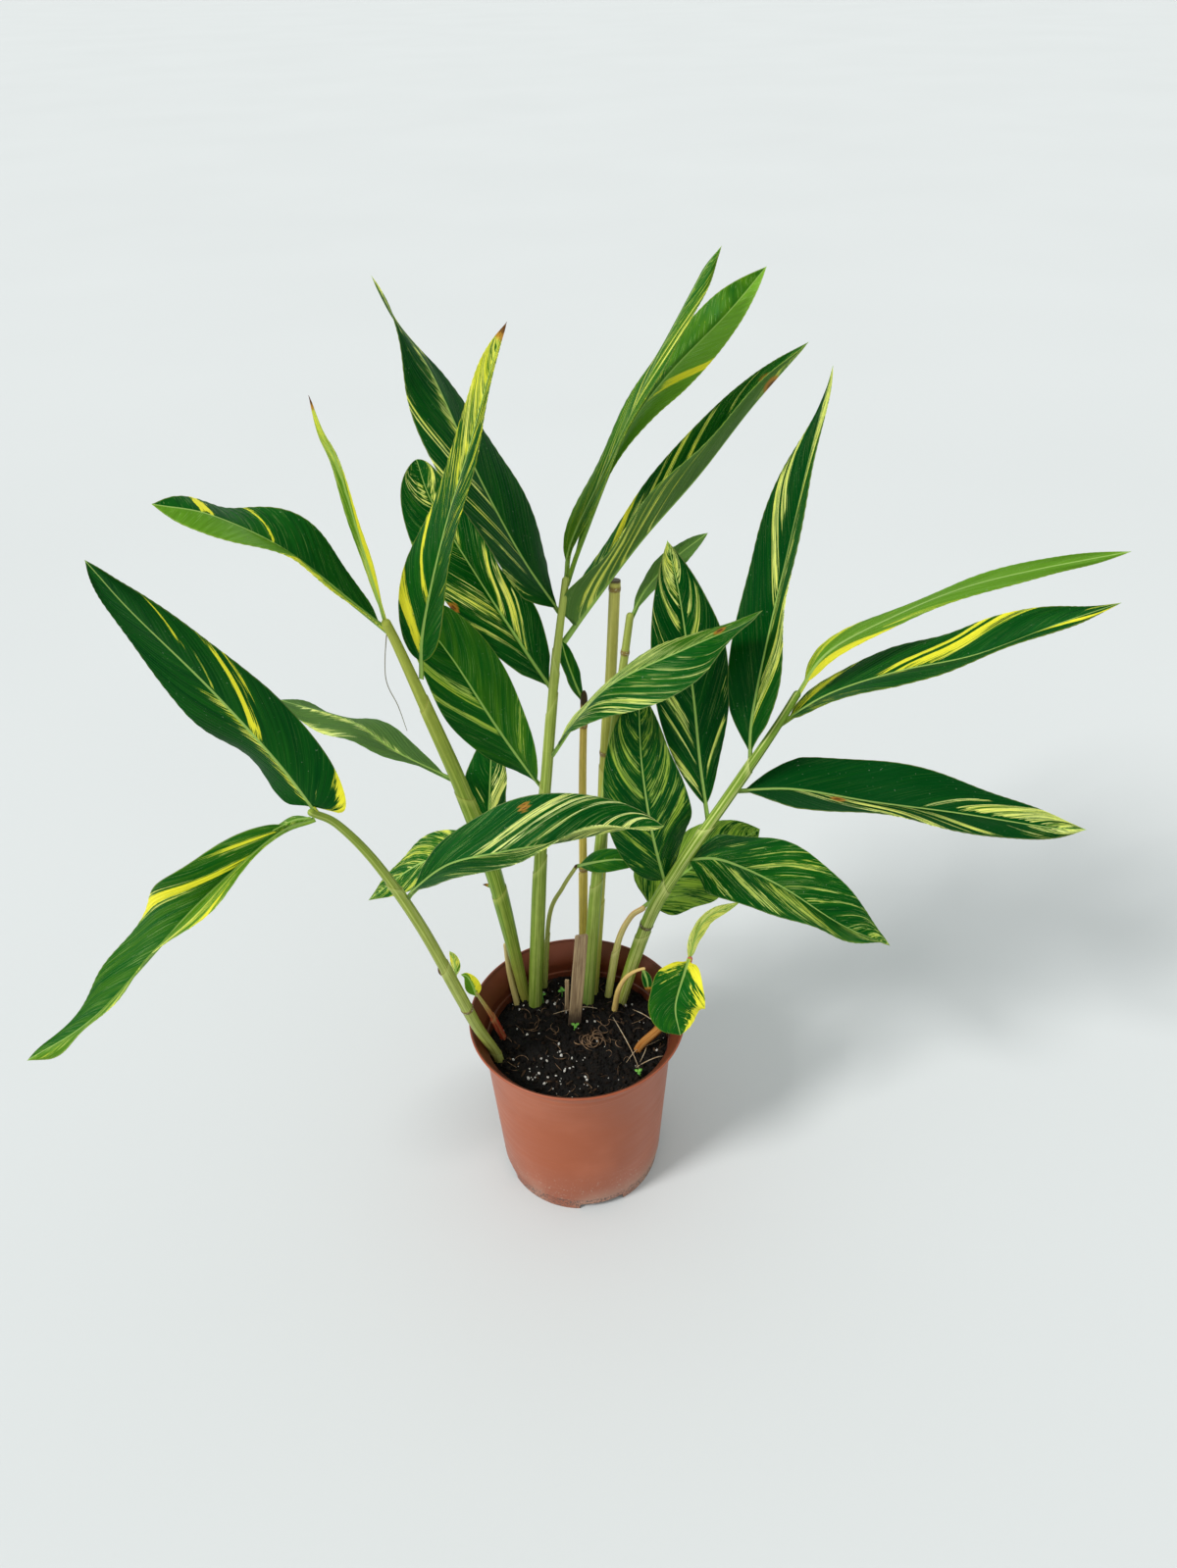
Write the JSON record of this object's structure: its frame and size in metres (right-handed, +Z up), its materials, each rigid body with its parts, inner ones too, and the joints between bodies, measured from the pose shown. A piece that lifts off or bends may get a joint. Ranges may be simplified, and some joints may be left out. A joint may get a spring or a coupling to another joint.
{
  "type": "potted variegated shell ginger",
  "caption": "Leafy upright foliage plant with cream and yellow streaked lance-shaped leaves on slender stems, growing in a round flared plastic nursery pot.",
  "frame": {"origin": "centre of the pot's flat underside, on the surface that the pot stands on", "axes": "+Z up along the pot's axis, +Y towards the back of the plant, +X towards the taller right-hand stem's spread leaves"},
  "size_m": [0.7265, 0.2471, 0.7022],
  "materials": {
    "pot_plastic": "terracotta-brown moulded plastic, satin",
    "soil": "moist dark peat compost with white perlite",
    "rhizome": "pale brown, scarred, matte",
    "blade": "dark green with cream and yellow streaks along the side veins, satin",
    "young_blade": "yellow-green with green streaks, satin",
    "stem": "light green ribbed leaf sheaths, satin",
    "dry_stem": "tan to olive dried sheath, matte",
    "red_shoot": "orange-brown young shoot, satin",
    "wood_slat": "weathered grey-brown softwood"
  },
  "bodies": {
    "root": {"pot": "pot_plastic", "soil": "soil", "rhizome": "rhizome", "slat": "wood_slat", "slat_small": "wood_slat", "stem_front_left": "stem", "stem_left": "stem", "stem_centre": "stem", "stem_slim": "dry_stem", "cane_cut": "dry_stem", "stem_back": "stem", "stem_right": "stem", "stem_arched": "stem", "shoot_front_right": "red_shoot", "stub_curled": "dry_stem", "stub_left": "dry_stem", "shoot_small": "stem", "shoot_red": "red_shoot", "leaf_front_left_upper": "blade", "leaf_front_left_drooping": "blade", "leaf_front_left_low": "blade", "leaf_left_top": "blade", "leaf_left_spear": "young_blade", "leaf_left_twisted": "blade", "leaf_left_outer": "blade", "leaf_left_low": "blade", "leaf_left_inner": "blade", "leaf_centre_tall": "blade", "leaf_centre_middle": "blade", "leaf_centre_low": "blade", "leaf_centre_folded": "blade", "leaf_centre_top_narrow": "blade", "leaf_centre_top_wide": "blade", "leaf_centre_right": "blade", "leaf_back_tip": "blade", "leaf_right_low": "blade", "leaf_right_middle": "blade", "leaf_right_tall": "blade", "leaf_right_side": "blade", "leaf_right_front": "blade", "leaf_right_top": "blade", "leaf_right_top_narrow": "young_blade", "leaf_arched": "blade", "leaf_shoot_broad": "young_blade", "leaf_shoot_narrow": "young_blade", "leaf_stub_tiny": "young_blade", "leaf_small_shoot": "blade", "leaf_slim_dark": "blade", "leaf_red_shoot": "young_blade"}
  },
  "joints": []
}
